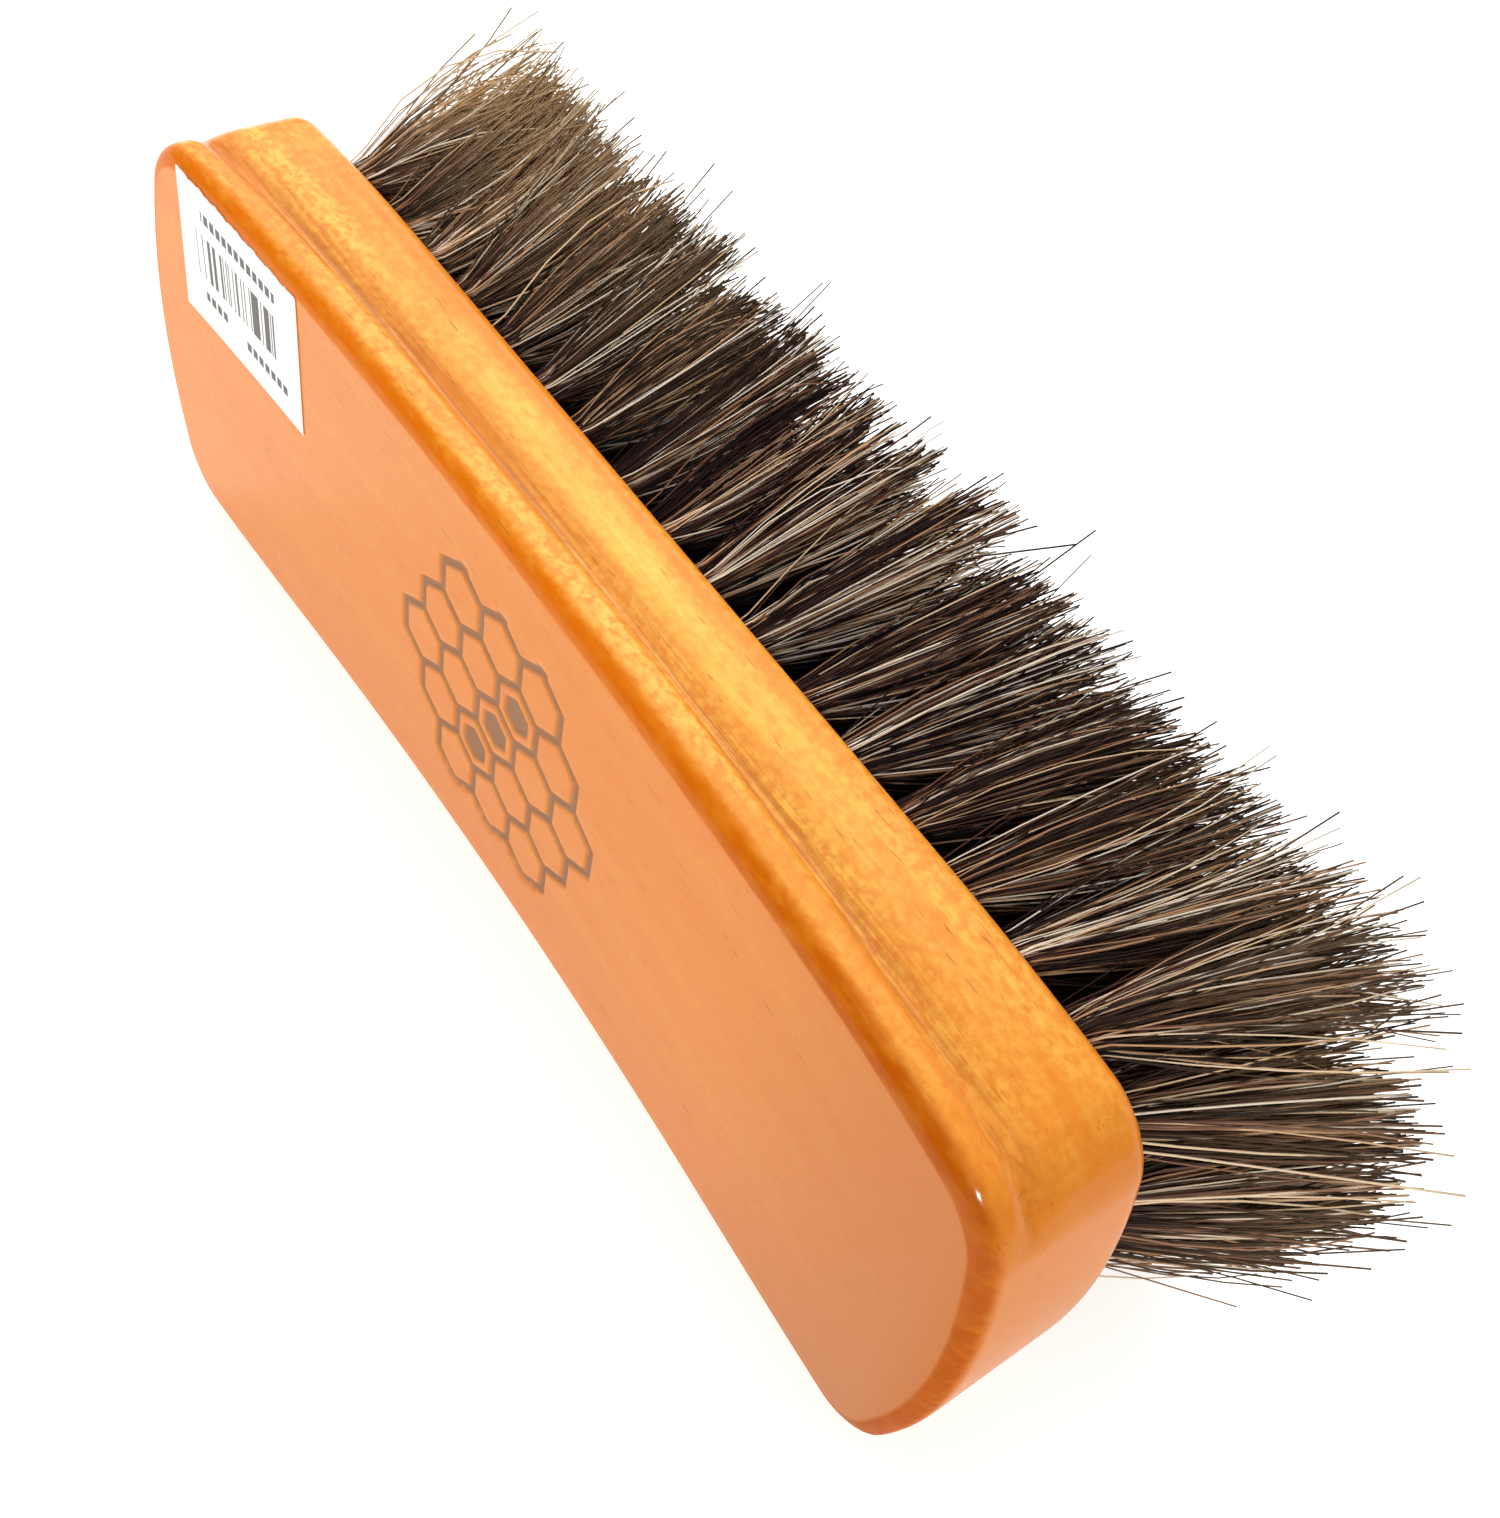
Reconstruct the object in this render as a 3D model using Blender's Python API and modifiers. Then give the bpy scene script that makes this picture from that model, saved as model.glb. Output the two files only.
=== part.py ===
"""Wooden block brush filled with horsehair tufts, lying on one long side. Metres, +Z up.

X runs along the block. Y points the way the hair does, so the back of the block faces -Y.
Z runs across the block: the brush rests on the flat band of one long side, at z = 0.
The origin is the middle of the underside of the bounding box.

Shapes are worked out in brush terms: `along` the block, `across` it from its middle line,
and `out` from the bristle face, positive towards the hair tips.
"""

import math

import bmesh
import bpy
from mathutils import Matrix, Vector

MM = 0.001

# Handle block: one piece of hardwood
HALF_LENGTH = 85 * MM
HALF_WIDTH = 30.2 * MM
MID_THICKNESS = 16.3 * MM
SADDLE_RISE = 3.6 * MM          # how much thicker the ends are than the middle
EDGE_RADIUS = 2.4 * MM          # round-over of the back edge and of the bristle-face edge
CORNER_RADIUS = 7 * MM
END_BULGE = 4.5 * MM            # how far the middle of an end stands beyond its corners
SIDE_TAPER = 2 * MM             # how far each long side comes in by the end
FLAT_HALF = 50 * MM             # the long sides are straight this far each way
END_STEPS, ARC_STEPS, SIDE_STEPS, EDGE_STEPS = 3, 4, 8, 3

# Finger groove along each long side: a steep wall nearest the back, then a floor that rises
# until it meets the side. It bends along the block the way the back does
GROOVE_WALL_DEEP = 11.2 * MM    # the wall at the middle, measured from the bristle face
GROOVE_SAG = 4.2 * MM           # how much deeper the groove lies by the ends
GROOVE_RUN = 5 * MM             # from the wall to where the floor meets the side
GROOVE_DEPTH = 1.2 * MM
GROOVE_CURVE = 1.5              # 1 is a straight ramp, more is hollower
GROOVE_STEPS, GROOVE_STATIONS = 4, 10

# Tufts: folded bundles of hair in blind holes, five staggered rows
TUFTS_IN_ROW = (17, 18, 19, 18, 17)
TUFT_PITCH = 8.4 * MM
ROW_PITCH = 11.5 * MM
HOLE_RADIUS = 2.7 * MM
HOLE_DEPTH = 10 * MM
HOLE_SIDES = 10
GAP = 0.3 * MM
HAIR_LENGTH = 28 * MM
MERGE_LENGTH = 12 * MM          # below this the tufts of a row stand apart
MERGE_OVERLAP = 1 * MM          # how far a tuft reaches into the merged hair
TUFT_TOP_RADIUS = 3.9 * MM

# The hair fans out. On the resting side it is pressed flush with the block
TIP_HALF_LENGTHS = [length * MM for length in (84, 91, 94, 91, 84)]
TIP_TOP = 33 * MM
TIP_BOTTOM = -HALF_WIDTH
MERGE_HALF_WIDTH = 5 * MM

# Staple: a flat wire anchor across the hole, with the tuft folded over it
STAPLE_LENGTH = 6.6 * MM
STAPLE_HEIGHT = 1.6 * MM
STAPLE_THICKNESS = 0.5 * MM
STAPLE_DEEP = 7.4 * MM          # its middle, below the bristle face

# Paper price label on the back, by the far end
LABEL_CENTRE = (-60.2 * MM, 17 * MM)
LABEL_SIZE = (29 * MM, 20 * MM)
LABEL_THICKNESS = 0.2 * MM
LABEL_GAP = 0.1 * MM
LABEL_STEPS = 3

BACK_HIGH = MID_THICKNESS + SADDLE_RISE * (1 - EDGE_RADIUS / HALF_LENGTH) ** 2
FACE_Y = (BACK_HIGH - HAIR_LENGTH) / 2


def place(along, across, out):
    """Brush terms to world."""
    return Vector((along, FACE_Y + out, HALF_WIDTH + across))


def thickness_at(along):
    """Thickness of the block from the bristle face to its saddle-shaped back."""
    return MID_THICKNESS + SADDLE_RISE * (along / HALF_LENGTH) ** 2


def collection(name):
    made = bpy.data.collections.new(name)
    bpy.context.scene.collection.children.link(made)
    return made


def material(name, colour, roughness, metallic=0.0):
    made = bpy.data.materials.new(name)
    made.use_nodes = True
    shader = made.node_tree.nodes["Principled BSDF"]
    shader.inputs["Base Color"].default_value = (*colour, 1)
    shader.inputs["Roughness"].default_value = roughness
    shader.inputs["Metallic"].default_value = metallic
    return made


def new_object(name, mesh, group, finish=None):
    made = bpy.data.objects.new(name, mesh)
    group.objects.link(made)
    if finish:
        mesh.materials.append(finish)
    return made


def new_mesh(name, bm):
    """The bmesh as a mesh with its faces turned outwards, shaded smooth with its edges kept."""
    bmesh.ops.recalc_face_normals(bm, faces=bm.faces)
    mesh = bpy.data.meshes.new(name)
    bm.to_mesh(mesh)
    bm.free()
    mesh.shade_smooth()
    mesh.set_sharp_from_angle(angle=math.radians(35))
    return mesh


def mirrored(half):
    """A whole ring from its upper half, whose points run from the +X end to the -X end."""
    return half + [(along, -across) for along, across in reversed(half)]


def add_loft(bm, rings):
    """A closed loft through rings of world points. A cap is strips between mirrored points."""
    loops = [[bm.verts.new(point) for point in ring] for ring in rings]
    count = len(loops[0])
    for low, high in zip(loops, loops[1:]):
        for i in range(count):
            j = (i + 1) % count
            bm.faces.new((low[i], low[j], high[j], high[i]))
    for loop in (loops[0], loops[-1]):
        for i in range(count // 2 - 1):
            bm.faces.new((loop[i], loop[i + 1], loop[-2 - i], loop[-1 - i]))


def add_box(bm, centre, size):
    matrix = Matrix.Translation(centre) @ Matrix.Diagonal((*size, 1))
    bmesh.ops.create_cube(bm, size=1, matrix=matrix)


def boolean(target, operation, other):
    modifier = target.modifiers.new(f"{operation} {other.name}", "BOOLEAN")
    modifier.operation = operation
    modifier.solver = "EXACT"
    modifier.object = other


def cutter(name, bm, group):
    made = new_object(name, new_mesh(name, bm), group)
    made.hide_render = True
    made.display_type = "WIRE"
    return made


# ---------------------------------------------------------------- handle block


def block_outline(inset):
    """Plan outline of the block, moved in by inset: rounded corners, bowed ends, straight sides."""
    half_length, half_width = HALF_LENGTH - inset, HALF_WIDTH - inset
    radius = CORNER_RADIUS - inset
    corner_along, corner_across = half_length - radius, half_width - radius
    quarter = [(half_length, corner_across * (i + 0.5) / END_STEPS) for i in range(END_STEPS)]
    for i in range(ARC_STEPS + 1):
        angle = math.pi / 2 * i / ARC_STEPS
        quarter.append((corner_along + radius * math.cos(angle), corner_across + radius * math.sin(angle)))
    quarter += [(corner_along * (1 - i / SIDE_STEPS), half_width) for i in range(1, SIDE_STEPS)]
    shaped = []
    for along, across in quarter:
        past_flat = max(0.0, (along - FLAT_HALF) / (half_length - FLAT_HALF))
        bow = END_BULGE * (across / half_width) ** 2 * (along / half_length) ** 4
        shaped.append((along - bow, across - SIDE_TAPER * past_flat ** 2 * across / half_width))
    middle = [(0.0, half_width)]
    return mirrored(shaped + middle + [(-along, across) for along, across in reversed(shaped)])


def block_rings():
    """Rings up the bristle-face round-over, then up the back's round-over to the saddle."""
    turns = [math.pi / 2 * i / EDGE_STEPS for i in range(EDGE_STEPS + 1)]
    rings = []
    for turn in turns:
        outline = block_outline(EDGE_RADIUS * (1 - math.sin(turn)))
        deep = EDGE_RADIUS * (1 - math.cos(turn))
        rings.append([place(along, across, -deep) for along, across in outline])
    for turn in turns:
        outline = block_outline(EDGE_RADIUS * (1 - math.cos(turn)))
        drop = EDGE_RADIUS * (1 - math.sin(turn))
        rings.append([place(along, across, drop - thickness_at(along)) for along, across in outline])
    return rings


def groove_profile():
    """Section of what the groove takes away, as (across from the side, deep) points."""
    points = [(GROOVE_DEPTH, GROOVE_WALL_DEEP)]
    for i in range(GROOVE_STEPS + 1):
        share = i / GROOVE_STEPS
        points.append((-GROOVE_DEPTH * (1 - share) ** GROOVE_CURVE, GROOVE_WALL_DEEP - GROOVE_RUN * share))
    return points + [(GROOVE_DEPTH, GROOVE_WALL_DEEP - GROOVE_RUN)]


def side_across(along):
    """How far a long side is from the middle line: it comes in towards the ends."""
    past_flat = max(0.0, (abs(along) - FLAT_HALF) / (HALF_LENGTH - FLAT_HALF))
    return HALF_WIDTH - SIDE_TAPER * past_flat ** 2


def groove_cutter(group):
    """Both grooves follow their side, and run out where the corners turn away from them."""
    bm = bmesh.new()
    for side in (1, -1):
        loops = []
        for i in range(GROOVE_STATIONS + 1):
            along = (2 * i / GROOVE_STATIONS - 1) * (HALF_LENGTH + MM)
            lower = GROOVE_SAG * (along / HALF_LENGTH) ** 2
            loops.append([
                bm.verts.new(place(along, side * (side_across(along) + across), -deep - lower))
                for across, deep in groove_profile()
            ])
        for start, end in zip(loops, loops[1:]):
            for i in range(len(start)):
                j = (i + 1) % len(start)
                bm.faces.new((start[i], start[j], end[j], end[i]))
        bm.faces.new(loops[0])
        bm.faces.new(loops[-1])
    return cutter("groove_cutter", bm, group)


def hole_cutter(group):
    bm = bmesh.new()
    for row, count in enumerate(TUFTS_IN_ROW):
        for number in range(count):
            centre = place(root_along(row, number), root_across(row), -HOLE_DEPTH / 2)
            bmesh.ops.create_cone(
                bm, cap_ends=True, segments=HOLE_SIDES, radius1=HOLE_RADIUS, radius2=HOLE_RADIUS,
                depth=HOLE_DEPTH + 2 * MM,
                matrix=Matrix.Translation(centre + Vector((0, MM, 0))) @ Matrix.Rotation(math.pi / 2, 4, "X"),
            )
    return cutter("hole_cutter", bm, group)


def make_block(parts, cutters, wood):
    bm = bmesh.new()
    add_loft(bm, block_rings())
    block = new_object("handle_block", new_mesh("handle_block", bm), parts, wood)
    boolean(block, "DIFFERENCE", groove_cutter(cutters))
    boolean(block, "DIFFERENCE", hole_cutter(cutters))
    boolean(block, "DIFFERENCE", staple_room("staple_pocket_cutter", range(len(TUFTS_IN_ROW)), cutters))


# ---------------------------------------------------------------- tufts and staples


def root_along(row, number):
    return (number - (TUFTS_IN_ROW[row] - 1) / 2) * TUFT_PITCH


def root_across(row):
    """Row 0 is the upper long side, the last row the resting one."""
    return ((len(TUFTS_IN_ROW) - 1) / 2 - row) * ROW_PITCH


def tip_row_width():
    return (TIP_TOP - TIP_BOTTOM) / len(TUFTS_IN_ROW)


def tip_across(row):
    return TIP_TOP - (row + 0.5) * tip_row_width()


def fanned(row, along, out):
    """Where a hair that leaves the block at `along` has got to, `out` from the bristle face."""
    share = out / HAIR_LENGTH
    last_root = root_along(row, TUFTS_IN_ROW[row] - 1) + HOLE_RADIUS
    along_out = along * (1 + share * (TIP_HALF_LENGTHS[row] / last_root - 1))
    across = root_across(row) + share * (tip_across(row) - root_across(row))
    return place(along_out, across, out)


def circle(radius, count):
    """Points on a circle, none on the X axis, so that the ring mirrors onto itself."""
    angles = [math.tau * (i + 0.5) / count for i in range(count)]
    return [Vector((radius * math.cos(angle), 0, radius * math.sin(angle))) for angle in angles]


def add_tuft(bm, row, number):
    """Straight in its hole, then a cone that leans the way its hair fans."""
    along = root_along(row, number)
    top = MERGE_LENGTH + MERGE_OVERLAP
    stations = (
        (place(along, root_across(row), GAP - HOLE_DEPTH), HOLE_RADIUS - GAP),
        (place(along, root_across(row), 0), HOLE_RADIUS - GAP),
        (fanned(row, along, top), TUFT_TOP_RADIUS),
    )
    add_loft(bm, [[centre + point for point in circle(radius, HOLE_SIDES)] for centre, radius in stations])


def merged_hair(row, group):
    """The part of a row where its tufts have run together, up to the trimmed tips."""
    bm = bmesh.new()
    rings = []
    for out, half_width in ((MERGE_LENGTH, MERGE_HALF_WIDTH), (HAIR_LENGTH, (tip_row_width() - GAP) / 2)):
        centre = fanned(row, 0, out)
        end = fanned(row, root_along(row, TUFTS_IN_ROW[row] - 1) + HOLE_RADIUS, out).x
        shoulder = end - half_width / 2
        half = [(end, half_width / 2), (shoulder, half_width), (-shoulder, half_width), (-end, half_width / 2)]
        rings.append([centre + Vector((along, 0, across)) for along, across in mirrored(half)])
    add_loft(bm, rings)
    return cutter(f"merged_hair_{row + 1}", bm, group)


def has_staple(row, number):
    """The staples that are modelled: those of the outermost tufts, all the way round."""
    return row in (0, len(TUFTS_IN_ROW) - 1) or number in (0, TUFTS_IN_ROW[row] - 1)


def staple_centre(row, number):
    return place(root_along(row, number), root_across(row), -STAPLE_DEEP)


def staple_room(name, rows, group):
    """The space round each staple of these rows, one gap wider all round."""
    bm = bmesh.new()
    size = [side + 2 * GAP for side in (STAPLE_LENGTH, STAPLE_HEIGHT, STAPLE_THICKNESS)]
    for row in rows:
        for number in filter(lambda number: has_staple(row, number), range(TUFTS_IN_ROW[row])):
            add_box(bm, staple_centre(row, number), size)
    return cutter(name, bm, group)


def make_hair_row(row, parts, cutters, hair):
    bm = bmesh.new()
    for number in range(TUFTS_IN_ROW[row]):
        add_tuft(bm, row, number)
    name = f"hair_row_{row + 1}"
    tufts = new_object(name, new_mesh(name, bm), parts, hair)
    boolean(tufts, "UNION", merged_hair(row, cutters))
    boolean(tufts, "DIFFERENCE", staple_room(f"staple_room_{row + 1}", [row], cutters))


def make_staples(parts, steel):
    bm = bmesh.new()
    add_box(bm, (0, 0, 0), (STAPLE_LENGTH, STAPLE_HEIGHT, STAPLE_THICKNESS))
    mesh = new_mesh("staple", bm)
    mesh.materials.append(steel)
    for row, count in enumerate(TUFTS_IN_ROW):
        for number in filter(lambda number: has_staple(row, number), range(count)):
            staple = new_object(f"staple_{row + 1}_{number + 1:02d}", mesh, parts)
            staple.location = staple_centre(row, number)


# ---------------------------------------------------------------- price label


def make_label(parts, paper):
    """A sheet that follows the saddle: an open strip, given its thickness by Solidify."""
    bm = bmesh.new()
    (along, across), (length, width) = LABEL_CENTRE, LABEL_SIZE
    edges = []
    for i in range(LABEL_STEPS + 1):
        x = along + length * (i / LABEL_STEPS - 0.5)
        out = -thickness_at(x) - LABEL_GAP
        edges.append([bm.verts.new(place(x, across + side * width / 2, out)) for side in (-1, 1)])
    for (low, high), (next_low, next_high) in zip(edges, edges[1:]):
        bm.faces.new((low, high, next_high, next_low))
    for face in bm.faces:
        face.normal_update()
        if face.normal.y > 0:
            face.normal_flip()
    mesh = bpy.data.meshes.new("price_label")
    bm.to_mesh(mesh)
    bm.free()
    label = new_object("price_label", mesh, parts, paper)
    sheet = label.modifiers.new("paper", "SOLIDIFY")
    sheet.thickness = LABEL_THICKNESS
    sheet.offset = 1


def main():
    for old in list(bpy.data.objects):
        bpy.data.objects.remove(old, do_unlink=True)
    parts, cutters = collection("horsehair_brush"), collection("cutters")
    wood = material("lacquered_wood", (0.83, 0.36, 0.11), 0.3)
    hair = material("horsehair", (0.12, 0.08, 0.05), 0.6)
    steel = material("staple_wire", (0.6, 0.6, 0.58), 0.35, 1.0)
    paper = material("label_paper", (0.92, 0.92, 0.9), 0.7)
    make_block(parts, cutters, wood)
    for row in range(len(TUFTS_IN_ROW)):
        make_hair_row(row, parts, cutters, hair)
    make_staples(parts, steel)
    make_label(parts, paper)


main()
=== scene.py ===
"""Horsehair block brush lying on its long side: lacquered beech block, price label, loose hair.

Metres, in the row frame: X along the block, Y the way the hair points, Z up. The near end of the
brush is its +X end and the far end its -X end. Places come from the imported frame; sizes that the
frame's boxes can't give are named below.
"""

import math
from types import SimpleNamespace

import bmesh
import bpy
import numpy as np
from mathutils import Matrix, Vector


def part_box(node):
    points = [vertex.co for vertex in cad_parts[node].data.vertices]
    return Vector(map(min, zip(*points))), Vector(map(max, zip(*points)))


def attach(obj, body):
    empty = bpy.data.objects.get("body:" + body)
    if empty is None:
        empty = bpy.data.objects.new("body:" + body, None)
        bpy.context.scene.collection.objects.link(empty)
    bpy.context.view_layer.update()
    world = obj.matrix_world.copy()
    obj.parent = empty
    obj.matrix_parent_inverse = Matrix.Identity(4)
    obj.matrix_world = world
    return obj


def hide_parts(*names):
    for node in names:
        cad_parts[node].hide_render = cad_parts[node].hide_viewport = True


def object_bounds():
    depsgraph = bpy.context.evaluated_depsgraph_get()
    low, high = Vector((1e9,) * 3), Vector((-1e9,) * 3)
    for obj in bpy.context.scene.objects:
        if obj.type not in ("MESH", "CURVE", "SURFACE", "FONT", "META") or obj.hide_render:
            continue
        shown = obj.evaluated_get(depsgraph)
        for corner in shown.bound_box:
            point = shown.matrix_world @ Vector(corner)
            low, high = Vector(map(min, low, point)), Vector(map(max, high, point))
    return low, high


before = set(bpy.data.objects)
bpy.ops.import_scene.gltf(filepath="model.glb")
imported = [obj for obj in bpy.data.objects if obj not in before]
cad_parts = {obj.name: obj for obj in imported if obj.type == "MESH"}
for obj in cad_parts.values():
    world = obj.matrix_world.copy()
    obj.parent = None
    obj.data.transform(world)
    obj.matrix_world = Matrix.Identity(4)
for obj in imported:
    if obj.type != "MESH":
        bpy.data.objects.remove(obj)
CAD_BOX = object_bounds()

MM = 0.001
SEED = 7351

# The block, from the frame's own boxes
BLOCK_LOW, BLOCK_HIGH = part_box("handle_block")
HALF_LENGTH = (BLOCK_HIGH.x - BLOCK_LOW.x) / 2
HALF_WIDTH = (BLOCK_HIGH.z - BLOCK_LOW.z) / 2
MIDDLE_Z = (BLOCK_HIGH.z + BLOCK_LOW.z) / 2
FACE_Y = BLOCK_HIGH.y
SADDLE_RISE = 3.6 * MM
EDGE_RADIUS = 2.4 * MM
CORNER_RADIUS = 7 * MM
END_BULGE = 4.5 * MM
SIDE_TAPER = 2 * MM
FLAT_HALF = 50 * MM
MID_THICKNESS = FACE_Y - BLOCK_LOW.y - SADDLE_RISE * (1 - EDGE_RADIUS / HALF_LENGTH) ** 2

# Finger groove, measured from the bristle face; it sinks towards the ends as the back does
GROOVE_WALL_DEEP = 11.2 * MM
GROOVE_SAG = 4.2 * MM
GROOVE_RUN = 5 * MM
GROOVE_DEPTH = 1.2 * MM
GROOVE_END_SHARE = 0.75
GROOVE_CURVE = 1.5
GROOVE_WALL_SOFT = 1.0 * MM

# Painted sheen: a lighter band along each long side, standing in for the overhead lamp's reflection
PAINTED_SHEEN_DEEP, PAINTED_SHEEN_HALF, PAINTED_SHEEN_MIDDLE = 5.8 * MM, 4.4 * MM, 5 * MM

# Steps of the block's surface
FINE_HALF_ALONG, FINE_HALF_ACROSS, FINE_STEP = 24 * MM, 20 * MM, 0.27 * MM
PLAIN_STEP = 1 * MM
END_STEPS, ARC_STEPS, FACE_EDGE_STEPS, SIDE_STEPS, BACK_EDGE_STEPS, BEAD_STEPS = 30, 12, 6, 26, 10, 5

# Burnt-in mark: a plain honeycomb
MARK_CENTRE = (-1.3 * MM, -0.6 * MM)
CELL_INRADIUS = 4.1 * MM
MARK_ROWS = (3, 4, 5, 4, 3)
MARK_FILLED = ((1, 1), (2, 2), (3, 2))
MARK_LINE = 1.1 * MM
MARK_DEPTH = 0.35 * MM
MARK_SOFT = 0.16 * MM

# Tuft holes: the staples of the frame say where they stand
ROWS = 5
HOLE_RADIUS = 2.7 * MM
HOLE_DEPTH = 10 * MM
HOLE_SIDES = 20

# Strands: how many, how fine (radii in millimetres), and from where to where
HAIR_LENGTH = CAD_BOX[1].y - FACE_Y
STRANDS_IN_ROW = 6600
STRAND_STATIONS = 6
STRAND_SIDES = 3
STRAND_RADII = (0.075, 0.125)
STRAND_TIP_SHARE = 0.9
HIDDEN_THICK = 1.3
ROOT_DEEP = 3 * MM
ROOT_RADIUS = 2.1 * MM
FLOOR_GAP = 0.3 * MM

# Tips: a tuft's tips fill an oval of this radius, wider across the rows than along them
TIP_SPREAD = 5.6 * MM
TIP_CELL = (1.0, 1.3)
TUFT_SPREAD_CHANGE = 0.08
TUFT_TIP_SHIFT = 0.6 * MM
# Row by row: how far the outermost tips lean inwards at the far end, and in and down at the near one
FAR_LEAN = (13 * MM, 5 * MM, 0, 0, 0)
NEAR_GATHER = (1.5 * MM, -0.5 * MM, -1 * MM, 0, 0)

# Wisps: strands of a tuft that hold together; some lie loose and a few are stray
WISPS = 14
WISP_SHIFT = 0.12
WISP_GATHER, OWN_SHIFT, LOOSE_SHIFT = 0.75, 0.32, 0.4
LOOSE_SHARE, FAR_LOOSE, NEAR_LOOSE = 0.36, 0.4, 0.25
STRAY_SHARE = 0.003
TIGHT_JITTER, LOOSE_JITTER, STRAY_JITTER = 0.75 * MM, 1.7 * MM, 3.2 * MM
FAR_JITTER, NEAR_JITTER = 0.9, 0.7

# Lengths, as shares of the hair's length
WISP_LENGTH_SPREAD, OWN_LENGTH_SPREAD = 0.022, 0.018
LENGTH_LIMITS = (-0.08, 0.04)
SHORT_SHARE = 0.08
SHORT_LENGTHS, STRAY_LENGTHS = (0.7, 0.97), (1.02, 1.2)

# Tones: how much wisps and the brush's ends differ from the rest. Lighter tips: partly sun-faded, partly
# painted backlight glow
WISP_TONE, FAR_TONE = 0.12, 0.10
NEAR_BLEACH_AND_GLOW, BLEACH_AND_GLOW_RANGE = 0.2, (0.45, 1.15)

# Painted shade inside the brush: the shares of a strand's length between which it fades out
TOP_ROW_FADE, INNER_FADE = (0.2, 0.75), (0.45, 0.95)

# Bends, as the usual sideways reach of a strand between its ends
TIGHT_BEND, LOOSE_BEND, STRAY_BEND, WISP_BEND = 0.6 * MM, 1.6 * MM, 2.4 * MM, 1.3 * MM
BEND_SHAPE = 2.6
FAN_POWER = 1.1

GOLDEN_ANGLE = math.pi * (3 - math.sqrt(5))

# Label: the frame's box of it, then its sheet
LABEL_LOW, LABEL_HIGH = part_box("price_label")
LABEL_STEPS = (72, 50)
LABEL_LIFT = 0.06 * MM
LABEL_THICKNESS = 0.1 * MM
# Its torn upper edge: heights in millimetres, waves along it in radians, shifts
LABEL_WAVES = ((0.10, 41, 0), (0.07, 97, 1), (0.05, 173, 0))

# Its print: fields as left, right, low and high edge, in millimetres from its low corner
BAR_WIDTH = 0.25 * MM
BAR_FIELD = (4.8, 23.4, 8.1, 14.5)
BAR_GAPS = 0.52
DASH_PITCH = 1.45 * MM
DASH_SHARE = 0.72
LABEL_RULES = ((6.5, 23.9, 16.5, 17.9), (15.9, 25.9, 4.2, 5.5), (6.0, 11.6, 4.7, 6.0))


def thickness_at(along):
    """The block's thickness: its back is a saddle, lowest in the middle."""
    return MID_THICKNESS + SADDLE_RISE * (along / HALF_LENGTH) ** 2


def smooth_step(low, high, value):
    """0 at low and 1 at high, level at both; low may be the greater."""
    share = np.clip((value - low) / (high - low), 0, 1)
    return share * share * (3 - 2 * share)


def unit(vectors):
    """The vectors along the last axis, at length 1."""
    return vectors / np.linalg.norm(vectors, axis=-1, keepdims=True)


# ---------------------------------------------------------------- nodes


def node(tree, kind, inputs=None, **settings):
    """A shader node with its settings and inputs. An input is a value or another node's output."""
    made = tree.nodes.new(kind)
    for name, value in settings.items():
        setattr(made, name, value)
    for socket, value in (inputs or {}).items():
        if isinstance(value, bpy.types.NodeSocket):
            tree.links.new(value, made.inputs[socket])
        else:
            made.inputs[socket].default_value = value
    return made


def maths(tree, operation, first, second=0.0):
    """One step of arithmetic; an operation with one input ignores second."""
    return node(tree, "ShaderNodeMath", {0: first, 1: second}, operation=operation).outputs[0]


def mapped(tree, value, low, high, to_low=0.0, to_high=1.0):
    """value from low to high, smoothly, as to_low to to_high."""
    inputs = {"Value": value, "From Min": low, "From Max": high, "To Min": to_low, "To Max": to_high}
    return node(tree, "ShaderNodeMapRange", inputs, interpolation_type="SMOOTHSTEP").outputs["Result"]


def mixed(tree, share, first, second):
    """Colour mix: inputs 6 and 7 of the Mix node are its two colours."""
    return node(tree, "ShaderNodeMix", {0: share, 6: first, 7: second}, data_type="RGBA").outputs[2]


def mixed_value(tree, share, first, second):
    """Number mix: inputs 2 and 3 of the Mix node are its two numbers."""
    return node(tree, "ShaderNodeMix", {0: share, 2: first, 3: second}, data_type="FLOAT").outputs[0]


def scaled_place(tree, scale):
    """Object coordinates in metres, multiplied axis by axis."""
    place = node(tree, "ShaderNodeTexCoord").outputs["Object"]
    return node(tree, "ShaderNodeMapping", {"Vector": place, "Scale": scale}).outputs["Vector"]


def noise(tree, scale, detail, roughness):
    """Soft noise from 0 to 1; scale is about how many blotches a metre holds along X, Y and Z."""
    inputs = {"Vector": scaled_place(tree, scale), "Scale": 1.0, "Detail": detail, "Roughness": roughness}
    return node(tree, "ShaderNodeTexNoise", inputs).outputs["Fac"]


def attribute(tree, name):
    """A number that the mesh carries, point by point."""
    return node(tree, "ShaderNodeAttribute", attribute_name=name).outputs["Fac"]


def new_material(name):
    """A new material with its node tree and its main shader."""
    made = bpy.data.materials.new(name)
    made.use_nodes = True
    return made, made.node_tree, made.node_tree.nodes["Principled BSDF"]


def plug(tree, shader, **inputs):
    """Sets inputs of the main shader; an underscore in a name stands for a space."""
    for name, value in inputs.items():
        socket = shader.inputs[name.replace("_", " ")]
        if isinstance(value, bpy.types.NodeSocket):
            tree.links.new(value, socket)
        else:
            socket.default_value = value


def bump(tree, height, distance, strength):
    """A normal that is tilted as if the surface rose by distance where height is 1."""
    inputs = {"Height": height, "Distance": distance, "Strength": strength}
    return node(tree, "ShaderNodeBump", inputs).outputs["Normal"]
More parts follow.
